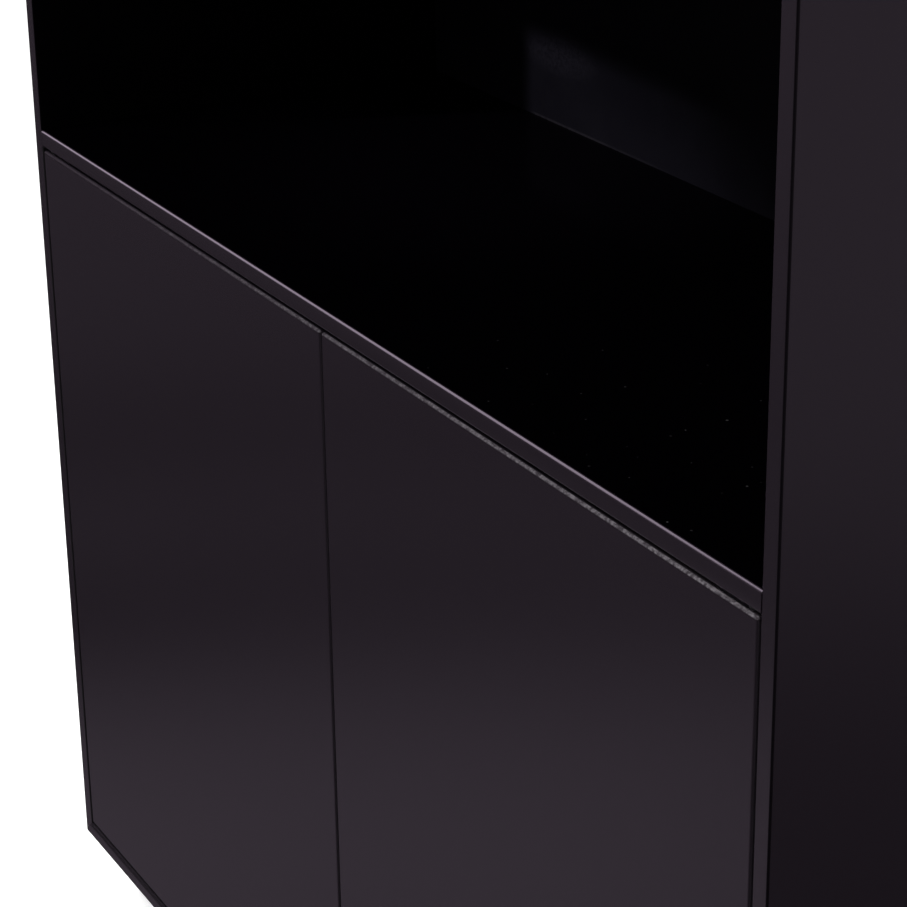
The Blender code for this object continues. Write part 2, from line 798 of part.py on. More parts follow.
def latch_housing(side, way, surface):
    """A moulded body with a collar round its bore and a flange screwed to the partition."""
    low_x, high_x = sorted((way * (X_PARTITION + SEAT), way * (X_PARTITION + SEAT + LATCH_WIDTH)))
    body = eased_box_form(
        (low_x, Y_LATCH_FRONT, Z_LATCH - LATCH_HEIGHT / 2),
        (high_x, Y_LATCH_FRONT + LATCH_LENGTH, Z_LATCH + LATCH_HEIGHT / 2),
        LATCH_ARRIS,
    )
    spot = (way * X_LATCH, Y_LATCH_FRONT, Z_LATCH)
    housing = place(f"{side}_latch_housing", body, surface, spot)
    low_x, high_x = sorted((way * (X_PARTITION + SEAT), way * (X_PARTITION + SEAT + FLANGE_THICKNESS)))
    flange_y = Y_LATCH_FRONT + (LATCH_LENGTH - FLANGE_LENGTH) / 2
    flange = box_form(
        (low_x, flange_y, Z_LATCH - FLANGE_HEIGHT / 2),
        (high_x, flange_y + FLANGE_LENGTH, Z_LATCH + FLANGE_HEIGHT / 2),
    )
    ease(flange, [edge for edge in flange.edges if is_across(edge)], LATCH_ARRIS)
    collar = rod_form(LATCH_COLLAR_RADIUS, -LATCH_COLLAR_LENGTH, LATCH_ARRIS + OVERRUN, PIN_STEPS)
    bore = rod_form(
        PLUNGER_RADIUS + PLUNGER_PLAY, -LATCH_COLLAR_LENGTH - OVERRUN, LATCH_LENGTH - LATCH_WALL, PIN_STEPS
    )
    screw_z = (FLANGE_HEIGHT + LATCH_HEIGHT) / 4
    screws = []
    for way_z in (-1, 1):
        hole = rod_form(FLANGE_SCREW_RADIUS, -OVERRUN, FLANGE_THICKNESS + SEAT + OVERRUN, BORE_STEPS)
        place_of_hole = (way * X_PARTITION, flange_y + FLANGE_LENGTH / 2, Z_LATCH + way_z * screw_z)
        screws.append(moved(hole, along_x(place_of_hole[0], way, *place_of_hole[1:])))
    cut(
        housing,
        cutter(f"add_{side}_latch_flange", [flange]),
        cutter(f"add_{side}_latch_collar", [moved(collar, along_y(*spot))]),
        operation="UNION",
    )
    cut(
        housing,
        cutter(f"cut_{side}_latch_bore", [moved(bore, along_y(*spot))]),
        cutter(f"cut_{side}_latch_screws", screws),
    )


def is_across(edge):
    """Whether an edge runs along X."""
    first, second = (end.co for end in edge.verts)
    return abs(first.x - second.x) > MERGE


def plunger(side, way, surface):
    """A rod with a narrower magnetic tip, which the door presses in."""
    slide = pivot(f"{side}_plunger_slide", (way * X_LATCH, Y_PLUNGER_TIP, Z_LATCH))
    profile = [
        (0.0, 0.0),
        (PLUNGER_TIP_RADIUS, 0.0),
        (PLUNGER_TIP_RADIUS, PLUNGER_TIP_LENGTH),
        (PLUNGER_RADIUS, PLUNGER_TIP_LENGTH),
        (PLUNGER_RADIUS, PLUNGER_LENGTH),
        (0.0, PLUNGER_LENGTH),
    ]
    bm = moved(turned_form(profile, PIN_STEPS), along_y(*slide.location))
    place(f"{side}_plunger", bm, surface, slide.location, slide)


def bumpers(surface):
    """Low domes that both doors stop against when they are pressed to open."""
    profile = [
        (0.0, 0.0),
        (BUMPER_RADIUS * BUMPER_CROWN_SHARE, 0.0),
        (BUMPER_RADIUS, BUMPER_THICKNESS * BUMPER_EDGE_SHARE),
        (BUMPER_RADIUS, BUMPER_THICKNESS),
        (0.0, BUMPER_THICKNESS),
    ]
    for end, z in (("top", Z_BAY_TOP - BUMPER_INSET), ("bottom", Z_BAY_FLOOR + BUMPER_INSET)):
        spot = (0.0, Y_PARTITION_FRONT - SEAT - BUMPER_THICKNESS, z)
        bm = moved(turned_form(profile, SCREW_STEPS), along_y(*spot))
        place(f"{end}_bumper", bm, surface, spot)


def main():
    clear_scene()
    surfaces = finishes()
    case(surfaces)
    shelves(surfaces)
    base(surfaces)
    bumpers(surfaces["rubber"])
    for side, way in SIDES.items():
        door_pivot = pivot(f"{side}_door_pivot", (way * X_PIVOT, Y_PIVOT, Z_DOOR_BOTTOM))
        door(side, way, door_pivot, surfaces)
        hinges(side, way, door_pivot, surfaces)
        strike_plate(side, way, door_pivot, surfaces["steel"])
        latch_housing(side, way, surfaces["nylon"])
        plunger(side, way, surfaces["nylon"])


main()
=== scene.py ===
"""Looks for the black lacquered cabinet: finishes, screws, studio and camera.

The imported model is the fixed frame. Its boards keep their own shape and get smooth
shading and procedural finishes here. Everything is in metres, +Z up, front towards -Y.
"""
import json
import math

import bmesh
import bpy
from mathutils import Matrix, Vector


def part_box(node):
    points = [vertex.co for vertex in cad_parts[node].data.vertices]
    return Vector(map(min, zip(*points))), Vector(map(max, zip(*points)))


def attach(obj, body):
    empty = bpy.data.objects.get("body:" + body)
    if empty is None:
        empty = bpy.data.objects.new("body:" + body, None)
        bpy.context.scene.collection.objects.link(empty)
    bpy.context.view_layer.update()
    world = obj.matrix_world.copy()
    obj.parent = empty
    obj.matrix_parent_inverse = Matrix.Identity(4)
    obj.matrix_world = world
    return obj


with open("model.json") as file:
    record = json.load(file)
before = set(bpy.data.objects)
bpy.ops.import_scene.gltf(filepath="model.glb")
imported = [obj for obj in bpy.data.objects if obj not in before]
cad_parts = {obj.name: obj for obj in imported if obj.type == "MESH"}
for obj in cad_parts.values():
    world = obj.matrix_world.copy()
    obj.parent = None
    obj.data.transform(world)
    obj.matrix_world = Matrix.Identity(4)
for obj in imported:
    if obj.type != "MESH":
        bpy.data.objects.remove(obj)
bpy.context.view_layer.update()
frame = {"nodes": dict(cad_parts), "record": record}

MM = 0.001

# Camera, solved from the photograph's three sets of parallel edges
LENS = 108.50
SENSOR = 36.0
CAMERA_PLACE = (1.7701, -1.0665, 1.5225)
CAMERA_RIGHT = (0.48391, 0.87501, -0.01364)
CAMERA_UP = (-0.32707, 0.19529, 0.92461)
CAMERA_BACK = (0.81170, -0.44297, 0.38070)
CLIP_START = 0.05
CLIP_END = 100.0

# Pairs of colours, linear, that a grain or a cloud mixes
LACQUER = ((0.0100, 0.0072, 0.0104), (0.0092, 0.0066, 0.0095))
# Painted shade: near black for the faces inside the niche, far darker than the same boards'
# lacquer
PAINTED_NICHE_SHADE = ((0.0007, 0.0005, 0.0009), (0.0005, 0.0004, 0.0006))
# Painted shade: a near-black line on the side panels' front arrises and in the seam under the
# doors
PAINTED_SHADE_LINE = ((0.0016, 0.0010, 0.0018), (0.0016, 0.0010, 0.0018))
MELAMINE = ((0.0080, 0.0074, 0.0084), (0.0066, 0.0060, 0.0070))
BACK = ((0.0027, 0.0025, 0.0036), (0.0022, 0.0020, 0.0030))
# Painted shade: near black for the top of the niche floor
PAINTED_FLOOR_SHADE = ((0.0003, 0.0002, 0.0004), (0.0002, 0.00015, 0.0003))
# Rubbed edge and painted highlight on the doors' top front arris
RUBBED_EDGE_AND_HIGHLIGHT = ((0.132, 0.121, 0.133), (0.051, 0.046, 0.051))
# Painted light: paler upright door edges, so the seams read lit
DOOR_EDGE_PAINTED_LIGHT = ((0.018, 0.013, 0.019), (0.014, 0.010, 0.015))
DOOR_TOP_EDGE = ((0.010, 0.008, 0.011), (0.010, 0.008, 0.011))
# Painted light: the right end of the doors' top, in the seam under the niche floor
DOOR_TOP_PAINTED_LIGHT = ((0.020, 0.017, 0.020), (0.020, 0.017, 0.020))
DUST = ((0.040, 0.040, 0.040), (0.040, 0.040, 0.040))
ZINC = ((0.56, 0.56, 0.57), (0.44, 0.44, 0.46))
NYLON = ((0.018, 0.018, 0.019), (0.013, 0.013, 0.014))
RUBBER = ((0.090, 0.090, 0.092), (0.070, 0.070, 0.072))

# Single colours on the niche's back panel, both painted light: a lit patch and a highlight along
# its foot
BACK_LIGHT_PATCH = (0.0053, 0.0048, 0.0069)
BACK_FOOT_HIGHLIGHT = (0.0060, 0.0054, 0.0070)

# Roughness at the low and the high end of a grain, or one even roughness
LACQUER_ROUGH = (0.150, 0.185)
DEEP_ROUGH = (0.3, 0.4)
BOARD_ROUGH = (0.4, 0.5)
GAP_ROUGH = (0.45, 0.6)
SEAM_ROUGH = (0.5, 0.6)
RUBBED_ROUGH = (0.6, 0.75)
FLOOR_TOP_ROUGH = (0.12, 0.18)
DUST_ROUGH = (0.8, 0.9)
MELAMINE_ROUGH = (0.42, 0.56)
BACK_ROUGH = (0.55, 0.7)
BACK_REAR_ROUGH = 0.49
ZINC_ROUGH = (0.28, 0.42)
NYLON_ROUGH = (0.42, 0.55)
RUBBER_ROUGH = (0.75, 0.9)

# Gloss of plain lacquer, and of surfaces that show darker than it
PLAIN_GLOSS = 0.5
SEAM_GLOSS = 0.47
BOARD_GLOSS = 0.3
FRONT_ARRIS_GLOSS = 0.2
SEAM_ARRIS_GLOSS = 0.08
DARK_GLOSS = 0.06
DOOR_ARRIS_GLOSS = 0.03
BACK_GLOSS = 0.02

# Refraction
LACQUER_IOR = 1.5
BOARD_IOR = 1.45
MOULDED_IOR = 1.47

# Noises: scale, detail, roughness
LACQUER_CLOUD = (3.1, 3.0, 0.55)
LACQUER_SHEEN = (240.0, 2.0, 0.6)
LACQUER_PEEL = (380.0, 2.0, 0.5)
ZONE_GRAIN = (420.0, 3.0, 0.7)
RUB_BLOTCH = (260.0, 3.0, 0.7)
MELAMINE_GRAIN = (520.0, 3.0, 0.6)
MELAMINE_CLOUD = (5.0, 2.0, 0.5)
BACK_GRAIN = (300.0, 4.0, 0.65)
BACK_CLOUD = (14.0, 3.0, 0.6)
LIGHT_PATCH_GRAIN = (210.0, 5.0, 0.75)
FOOT_GRAIN = (70.0, 3.0, 0.7)
ZINC_BRUSH = (60.0, 4.0, 0.7)
ZINC_CLOUD = (90.0, 2.0, 0.5)
MOULD_GRAIN = (900.0, 2.0, 0.5)
MOULD_CLOUD = (120.0, 2.0, 0.5)
BRUSH_STRETCH = (1.0, 18.0, 18.0)

# Bumps: height in metres, strength
LACQUER_BUMP = (0.00002, 0.35)
MELAMINE_BUMP = (0.00003, 0.5)
BACK_BUMP = (0.00004, 0.5)
ZINC_BUMP = (0.00001, 0.3)
MOULD_BUMP = (0.00002, 0.4)

# Parts of a noise's range that a change is spread over, and directions of a change
WHOLE = (0.0, 1.0)
FALLING = (1.0, 0.0)
ROUGH_SPREAD = (0.3, 0.7)
COLOUR_SPREAD = (0.35, 0.65)
RUB_SPREAD = (0.34, 0.60)
BACK_SPREAD = (0.35, 0.7)
LIGHT_PATCH_SPREAD = (0.25, 0.7)
FOOT_SPREAD = (0.3, 0.6)

# Shares that a noise is turned into
RUB_SHARES = (0.25, 1.15)
FOOT_SHARES = (0.35, 1.0)
MELAMINE_CLOUD_SHARES = (0.3, 0.6)
BACK_REAR_CLOUD_SHARE = 0.4

# Planes that the finishes change at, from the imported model
NICHE_FLOOR_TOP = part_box("niche_floor")[1].z
NICHE_FLOOR_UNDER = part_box("niche_floor")[0].z
CASE_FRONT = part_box("niche_floor")[0].y
INNER_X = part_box("right_side_panel")[0].x
OUTER_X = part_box("right_side_panel")[1].x
DOOR_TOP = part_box("right_door")[1].z
DOOR_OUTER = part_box("right_door")[1].x
DOOR_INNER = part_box("right_door")[0].x
BACK_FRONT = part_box("niche_back_panel")[0].y
TOP_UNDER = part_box("top_panel")[0].z
BOTTOM_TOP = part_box("bottom_panel")[1].z

# Where a zone fades in or out, measured from the plane that it follows
INNER_FACE_FADE = (0.0003, 0.0009)
BOARD_LINE_FADE = (-0.001, 0.0)
SIDE_ARRIS_FADE = (-0.0017, -0.0012)
SIDE_FRONT_FADE = (0.0012, 0.0017)
FLOOR_TOP_FADE = (-0.0004, -0.0001)
FLOOR_FRONT_FADE = (0.0021, 0.0025)
FLOOR_UNDER_FADE = (0.0001, 0.0004)
TOP_UNDER_FADE = (0.0002, 0.0006)
BOTTOM_TOP_FADE = (-0.0006, -0.0002)
BOTTOM_SEAM_FADE = (-0.0075, -0.0020)
BOTTOM_ARRIS_FADE = (-0.0012, -0.0008)
BOTTOM_FRONT_FADE = (0.0010, 0.0014)
DOOR_TOP_FADE = (-0.0005, -0.0002)
DOOR_FRONT_FADE = (0.0019, 0.0022)
DOOR_ARRIS_FADE = (-0.0025, -0.0019)
DOOR_RUB_FADE = (-0.0020, -0.0014)
DOOR_OUTER_FADE = (-0.0005, -0.0001)
DOOR_INNER_FADE = (0.0001, 0.0005)
BACK_FOOT_FADE = (0.0014, 0.0026)
BACK_REAR_FADE = (0.0010, 0.0020)

# Where a zone fades along the cabinet's width
# Painted light on the doors' top, paler to the right
DOOR_TOP_LIGHT_REACH = (0.30, 0.58)
# Painted highlight on the doors' top arris, stronger to the right
RUB_HIGHLIGHT_REACH = (-0.66, 0.62)
RUB_HIGHLIGHT_SHARES = (0.05, 1.0)
FOOT_LEFT_REACH = (-0.400, -0.385)
FOOT_RIGHT_REACH = (-0.30, -0.12)

# A painted patch of light on the niche's back panel: x and z of its middle, half its width and
# height
LIGHT_PATCH_X = -0.352
LIGHT_PATCH_Z = NICHE_FLOOR_TOP + 0.068
LIGHT_PATCH_HALF_WIDTH = 0.085
LIGHT_PATCH_HALF_HEIGHT = 0.026

# Dust on the niche floor: cells in a metre, the share of them that hold a speck, how large
# and how strong a speck is, and where the dusty corner begins
DUST_CELLS = 42.0
DUST_SHIFT = (0.072, -0.008, 0.0)
DUST_CHOSEN = (0.48, 0.50)
DUST_SIZES = (0.014, 0.060)
DUST_STRENGTHS = (0.1, 1.0)
DUST_EDGE = (0.25, 1.0)
DUST_RIGHT_REACH = (0.0, 0.42)
DUST_FRONT_REACH = (0.02, -0.12)

# Smooth shading of the boards and screws
WELD_REACH = 0.01 * MM
BOARD_CORNER = math.radians(36)
SCREW_CORNER = math.radians(32)
NORMAL_WEIGHT = 100

# Screws: the cross has arms of a length and half a width in shares of the head's radius, and
# narrows towards its foot. A ring is its radius, or None for the cross's outline, the share of
# that, and its height over the face that the screw sits in.
HEAD_RADIUS = 2.9 * MM
SHANK_RADIUS = 1.45 * MM
CROSS_ARM_SHARE = 0.62
CROSS_HALF_WIDTH_SHARE = 0.20
CROSS_FOOT_SHARE = 0.8
CORNER_TOLERANCE = 0.001
SUNK_RINGS = (
    (SHANK_RADIUS, 1.0, -2.4 * MM), (SHANK_RADIUS, 1.0, -1.5 * MM), (HEAD_RADIUS, 1.0, -0.25 * MM),
    (2.75 * MM, 1.0, -0.12 * MM), (None, 1.0, -0.08 * MM), (None, CROSS_FOOT_SHARE, -1.1 * MM),
)
ROUND_RINGS = (
    (SHANK_RADIUS, 1.0, -2.6 * MM), (SHANK_RADIUS, 1.0, 0.06 * MM), (HEAD_RADIUS, 1.0, 0.06 * MM),
    (2.95 * MM, 1.0, 0.7 * MM), (2.4 * MM, 1.0, 1.35 * MM), (None, 1.0, 1.6 * MM),
    (None, CROSS_FOOT_SHARE, 0.5 * MM),
)

# Where the screws sit: from a leaf's pin end to its pin, from the pin to each screw, from a
# latch housing's middle to each screw, and from its inner side and its rear end
LEAF_PIN_INSET = 5.0 * MM
LEAF_SCREW_REACHES = (16.0 * MM, 34.0 * MM)
LATCH_SCREW_RISES = (-13.125 * MM, 13.125 * MM)
LATCH_SCREW_DEPTH = 2.8 * MM
LATCH_SCREW_INSET = 30.0 * MM
FIRST_TURN = 0.3
TURN_STEP = 0.9

# World and floor
WORLD_LEVEL = 0.55
FLOOR_SIDE = 40.0
FLOOR_HEIGHT = -0.0005
FLOOR_COLOUR = (0.8, 0.8, 0.8, 1)
FLOOR_ROUGHNESS = 0.9
FLOOR_GLOW = 0.6
WHITE = (1, 1, 1, 1)

# The tent that only mirrors see. Its brightness follows the height of a direction, in degrees,
# on the left and on the right, with a darker part low in front and a bright panel at the left.
TENT_RADIUS = 14.0
TENT_FINENESS = 5
TENT_MIDDLE = (0, 0, 0.65)
TENT_TINT = (1.0, 0.82, 1.03, 1)
TENT_SPAN = 60.0
TENT_LEFT = (
    (-60, 0.03), (-46, 0.05), (-34, 0.155), (-31.5, 0.165), (-29.5, 0.155), (-27.8, 0.115),
    (-26.4, 0.045), (-25.1, 0.004), (-23.4, 0.085), (-21.4, 0.002), (-19.2, 0.065), (-16, 0.055),
    (-12, 0.08), (-5, 0.10), (20, 0.2), (60, 0.35),
)
TENT_RIGHT = (
    (-60, 0.005), (-28, 0.005), (-26.2, 0.03), (-24.2, 0.055), (-22.2, 0.17), (-18, 0.22),
    (-12, 0.24), (0, 0.22), (20, 0.22), (60, 0.35),
)
TENT_SIDES_REACH = (-0.25, 0.45)
TENT_GAIN_TURN = (math.radians(52.0), math.radians(70.0))
TENT_GAINS = (1.45, 0.86)
TENT_FRONT_LEVEL = 0.02
TENT_FRONT_REACH = (-0.75, -0.35)
TENT_FRONT_SIDE_REACH = (-0.05, 0.3)
TENT_FRONT_HEIGHT = (-0.05, 0.15)
TENT_PANEL_START = (math.radians(46.0), math.radians(52.0))
TENT_PANEL_END = (math.radians(80.0), math.radians(87.0))
TENT_PANEL_FOOT = (0.06, 0.16)
TENT_PANEL_HEAD = (0.62, 0.75)
TENT_PANEL_REACH = (-0.95, -0.6)
TENT_PANEL_LEVELS = (2.4, 4.5)
TENT_HIDDEN_FROM = ("camera", "diffuse", "transmission", "volume_scatter", "shadow")

# Panel lamps: name, place, target, side of the square panel, power
PANEL_LAMPS = (
    ("key", (-0.9, -1.9, 3.8), (0.0, -0.2, 0.5), 1.2, 136.0),
    ("side_fill", (3.6, -0.6, 2.2), (0.3, 0.0, 0.6), 1.6, 40.0),
    ("back_fill", (-0.8, 3.6, 2.4), (0.0, 0.0, 0.6), 1.6, 30.0),
)

# The beam that lights a patch of the niche's back panel
BEAM_PLACE = (-1.384, -2.075, 2.921)
BEAM_TARGET = (-0.197, BACK_FRONT, 0.7246)
BEAM_HALF_ANGLE = math.radians(6.04)
BEAM_ROLL = math.radians(-2.35)
BEAM_FLATTEN = 0.5874
BEAM_POWER = 998.0
BEAM_SOURCE = 0.05

# Nodes with a finish of their own; every other node takes that of its material slot
OWN_FINISHES = {
    "left_side_panel": "side",
    "right_side_panel": "side",
    "left_door": "door",
    "right_door": "door",
    "niche_floor": "shelf",
    "top_panel": "top",
    "bottom_panel": "bottom",
    "niche_back_panel": "back",
}


class Finish:
    """One material: a Principled surface with a few helpers for its nodes."""

    def __init__(self, name):
        self.material = bpy.data.materials.new(name)
        self.material.use_nodes = True
        self.tree = self.material.node_tree
        self.surface = self.tree.nodes["Principled BSDF"]
        self.place = self.node("ShaderNodeTexCoord").outputs["Object"]
        self.x, self.y, self.z = self.split(self.place)

    def node(self, kind, **settings):
        made = self.tree.nodes.new(kind)
        for key, value in settings.items():
            setattr(made, key, value)
        return made

    def link(self, source, target):
        self.tree.links.new(source, target)

    def feed(self, value, target):
        """Sets a number or a colour, or links anything else."""
        if isinstance(value, (int, float)):
            target.default_value = value
        elif isinstance(value, tuple):
            target.default_value = (*value, 1.0)
        else:
            self.link(value, target)

    def split(self, vector):
        made = self.node("ShaderNodeSeparateXYZ")
        self.link(vector, made.inputs[0])
        return made.outputs

    def math(self, operation, *values):
        made = self.node("ShaderNodeMath", operation=operation)
        for value, target in zip(values, made.inputs):
            self.feed(value, target)
        return made.outputs[0]

    def product(self, first, *others):
        for other in others:
            first = self.math("MULTIPLY", first, other)
        return first

    def across(self):
        """How far a point lies from the cabinet's middle, to either side."""
        return self.math("ABSOLUTE", self.x)

    def ramp(self, value, low, high, start=0.0, end=1.0):
        """Smooth change from start to end while value goes from low to high."""
        made = self.node("ShaderNodeMapRange", interpolation_type="SMOOTHSTEP")
        self.link(value, made.inputs["Value"])
        made.inputs["From Min"].default_value = low
        made.inputs["From Max"].default_value = high
        made.inputs["To Min"].default_value = start
        made.inputs["To Max"].default_value = end
        return made.outputs[0]

    def rise(self, value, plane, fade):
        """0 before a plane and 1 past it."""
        return self.ramp(value, plane + fade[0], plane + fade[1])

    def fall(self, value, plane, fade):
        """1 before a plane and 0 past it."""
        return self.ramp(value, plane + fade[0], plane + fade[1], *FALLING)

    def shifted(self, vector, shift):
        made = self.node("ShaderNodeVectorMath", operation="SUBTRACT")
        made.inputs[1].default_value = shift
        self.link(vector, made.inputs[0])
        return made.outputs[0]

    def noise(self, scale, detail, rough, stretch=None):
        source = self.place
        if stretch is not None:
            mapping = self.node("ShaderNodeMapping")
            mapping.inputs["Scale"].default_value = stretch
            self.link(source, mapping.inputs["Vector"])
            source = mapping.outputs[0]
        made = self.node("ShaderNodeTexNoise")
        made.inputs["Scale"].default_value = scale
        made.inputs["Detail"].default_value = detail
        made.inputs["Roughness"].default_value = rough
        self.link(source, made.inputs["Vector"])
        return made.outputs["Fac"]

    def blend(self, data_type, socket_type, first, second, share):
        made = self.node("ShaderNodeMix", data_type=data_type)
        self.feed(share, made.inputs[0])
        ends = [socket for socket in made.inputs if socket.type == socket_type][-2:]
        self.feed(first, ends[0])
        self.feed(second, ends[1])
        return next(socket for socket in made.outputs if socket.type == socket_type)

    def colours(self, first, second, share):
        return self.blend("RGBA", "RGBA", first, second, share)

    def mix(self, first, second, share):
        return self.blend("FLOAT", "VALUE", first, second, share)

    def bump(self, height, distance, strength):
        made = self.node("ShaderNodeBump")
        made.inputs["Distance"].default_value = distance
        made.inputs["Strength"].default_value = strength
        self.link(height, made.inputs["Height"])
        self.link(made.outputs[0], self.surface.inputs["Normal"])

    def set(self, colour, rough, **constants):
        self.link(colour, self.surface.inputs["Base Color"])
        self.link(rough, self.surface.inputs["Roughness"])
        for label, value in constants.items():
            self.surface.inputs[label].default_value = value

    def set_gloss(self, level):
        self.feed(level, self.surface.inputs["Specular IOR Level"])


def inner_side_shade_zone(f):
    """The inner face of a side panel beside the open niche, coloured near black as painted shade.
    """
    inside = f.fall(f.across(), INNER_X, INNER_FACE_FADE)
    return f.product(inside, f.rise(f.z, NICHE_FLOOR_TOP, BOARD_LINE_FADE))


def inner_side_low_zone(f):
    """The inner face of a side panel beside the doors."""
    inside = f.fall(f.across(), INNER_X, INNER_FACE_FADE)
    return f.product(inside, f.fall(f.z, NICHE_FLOOR_UNDER, BOARD_LINE_FADE))


def front_arris_shade_zone(f):
    """Painted shade on the narrow outer front arris of a side panel, where the edge band meets the
    face.
    """
    out = f.rise(f.across(), OUTER_X, SIDE_ARRIS_FADE)
    return f.product(out, f.fall(f.y, CASE_FRONT, SIDE_FRONT_FADE))


def top_face_zone(f):
    """The top of the niche floor, behind its eased front edge, coloured near black as painted
    shade.
    """
    high = f.rise(f.z, NICHE_FLOOR_TOP, FLOOR_TOP_FADE)
    return f.product(high, f.rise(f.y, CASE_FRONT, FLOOR_FRONT_FADE))


def dust_zone(f):
    """A few specks of dust on the niche floor, towards its right front corner."""
    cells = f.node("ShaderNodeTexVoronoi", voronoi_dimensions="2D")
    cells.inputs["Scale"].default_value = DUST_CELLS
    f.link(f.shifted(f.place, DUST_SHIFT), cells.inputs["Vector"])
    parts = f.node("ShaderNodeSeparateColor")
    f.link(cells.outputs["Color"], parts.inputs[0])
    pick, width, weight = parts.outputs
    size = f.ramp(width, *WHOLE, *DUST_SIZES)
    speck = f.ramp(f.math("DIVIDE", cells.outputs["Distance"], size), *DUST_EDGE, *FALLING)
    chosen = f.product(f.ramp(pick, *DUST_CHOSEN), f.ramp(weight, *WHOLE, *DUST_STRENGTHS))
    corner = f.product(f.ramp(f.x, *DUST_RIGHT_REACH), f.ramp(f.y, *DUST_FRONT_REACH))
    return f.product(speck, chosen, corner, top_face_zone(f))


def shelf_under_zone(f):
    """The underside of the niche floor, behind the doors."""
    return f.fall(f.z, NICHE_FLOOR_UNDER, FLOOR_UNDER_FADE)


def top_under_shade_zone(f):
    """The underside of the top, over the niche, coloured near black as painted shade."""
    return f.fall(f.z, TOP_UNDER, TOP_UNDER_FADE)


def bottom_inner_zone(f):
    """The face of the bottom inside the cabinet."""
    return f.rise(f.z, BOTTOM_TOP, BOTTOM_TOP_FADE)


def bottom_seam_shade_zone(f):
    """The edge under the doors, where the lacquer dulls and painted shade darkens it towards the
    seam.
    """
    return f.rise(f.z, BOTTOM_TOP, BOTTOM_SEAM_FADE)


def bottom_arris_shade_zone(f):
    """The upper front arris of the bottom, in the seam under the doors, darkened as painted shade.
    """
    high = f.rise(f.z, BOTTOM_TOP, BOTTOM_ARRIS_FADE)
    return f.product(high, f.fall(f.y, CASE_FRONT, BOTTOM_FRONT_FADE))


def door_top_zone(f):
    """The flat top of a door, in the seam under the niche floor."""
    high = f.rise(f.z, DOOR_TOP, DOOR_TOP_FADE)
    return f.product(high, f.rise(f.y, CASE_FRONT, DOOR_FRONT_FADE))


def door_top_right_light_zone(f):
    """The right end of that top, painted paler as light reaching into the seam."""
    return f.product(door_top_zone(f), f.ramp(f.x, *DOOR_TOP_LIGHT_REACH))


def door_arris_zone(f):
    """The top front arris of a door."""
    high = f.rise(f.z, DOOR_TOP, DOOR_ARRIS_FADE)
    return f.product(high, f.fall(f.y, CASE_FRONT, DOOR_FRONT_FADE))


def door_arris_rub_and_highlight_zone(f):
    """Where the lacquer is rubbed through along that arris, with a painted highlight that grows
    brighter to the right.
    """
    along = f.ramp(f.x, *RUB_HIGHLIGHT_REACH, *RUB_HIGHLIGHT_SHARES)
    blotch = f.ramp(f.noise(*RUB_BLOTCH), *RUB_SPREAD, *RUB_SHARES)
    high = f.rise(f.z, DOOR_TOP, DOOR_RUB_FADE)
    return f.product(high, door_arris_zone(f), f.product(along, blotch))


def door_edge_light_zone(f):
    """The narrow upright edges of a door, which show in the seams, painted paler as light in the
    seams.
    """
    across = f.across()
    outer = f.rise(across, DOOR_OUTER, DOOR_OUTER_FADE)
    inner = f.fall(across, DOOR_INNER, DOOR_INNER_FADE)
    return f.math("MAXIMUM", outer, inner)


def light_patch_zone(f):
    """Painted light: a pale, mottled patch low on the niche's back panel, where the beam's patch
    is brightest.
    """
    across = f.math("DIVIDE", f.math("SUBTRACT", f.x, LIGHT_PATCH_X), LIGHT_PATCH_HALF_WIDTH)
    up = f.math("DIVIDE", f.math("SUBTRACT", f.z, LIGHT_PATCH_Z), LIGHT_PATCH_HALF_HEIGHT)
    away = f.math("ADD", f.product(across, across), f.product(up, up))
    grain = f.ramp(f.noise(*LIGHT_PATCH_GRAIN), *LIGHT_PATCH_SPREAD)
    return f.product(f.ramp(away, *WHOLE, *FALLING), grain)


def foot_highlight_zone(f):
    """Painted highlight: a pale line along the foot of the niche's back panel, from the left
    side's shadow edge, fading to the right.
    """
    low = f.fall(f.z, NICHE_FLOOR_TOP, BACK_FOOT_FADE)
    right = f.ramp(f.x, *FOOT_RIGHT_REACH, *FALLING)
    left = f.ramp(f.x, *FOOT_LEFT_REACH)
    grain = f.ramp(f.noise(*FOOT_GRAIN), *FOOT_SPREAD, *FOOT_SHARES)
    return f.product(low, right, left, grain)


def lacquer_finish(name, *zones):
    """Satin lacquer with a fine sprayed texture.

    A zone is its mask, its pair of colours, its roughness, and its gloss or None to leave
    the gloss as it is.
    """
    f = Finish(name)
    colour = f.colours(*LACQUER, f.noise(*LACQUER_CLOUD))
    rough = f.ramp(f.noise(*LACQUER_SHEEN), *ROUGH_SPREAD, *LACQUER_ROUGH)
    gloss = PLAIN_GLOSS
    for zone, colours, zone_rough, zone_gloss in zones:
        mask = zone(f)
        grain = f.noise(*ZONE_GRAIN)
        colour = f.colours(colour, f.colours(*colours, f.ramp(grain, *COLOUR_SPREAD)), mask)
        rough = f.mix(rough, f.ramp(grain, *ROUGH_SPREAD, *zone_rough), mask)
        if zone_gloss is not None:
            gloss = f.mix(gloss, zone_gloss, mask)
    f.set_gloss(gloss)
    f.bump(f.noise(*LACQUER_PEEL), *LACQUER_BUMP)
    f.set(colour, rough, IOR=LACQUER_IOR)
    return f.material


def melamine_finish(name):
    """Faced board with a fine grain."""
    f = Finish(name)
    grain = f.noise(*MELAMINE_GRAIN)
    cloud = f.noise(*MELAMINE_CLOUD)
    share = f.mix(grain, cloud, f.ramp(cloud, *WHOLE, *MELAMINE_CLOUD_SHARES))
    f.bump(grain, *MELAMINE_BUMP)
    rough = f.ramp(grain, *ROUGH_SPREAD, *MELAMINE_ROUGH)
    f.set(f.colours(*MELAMINE, share), rough, IOR=BOARD_IOR)
    return f.material


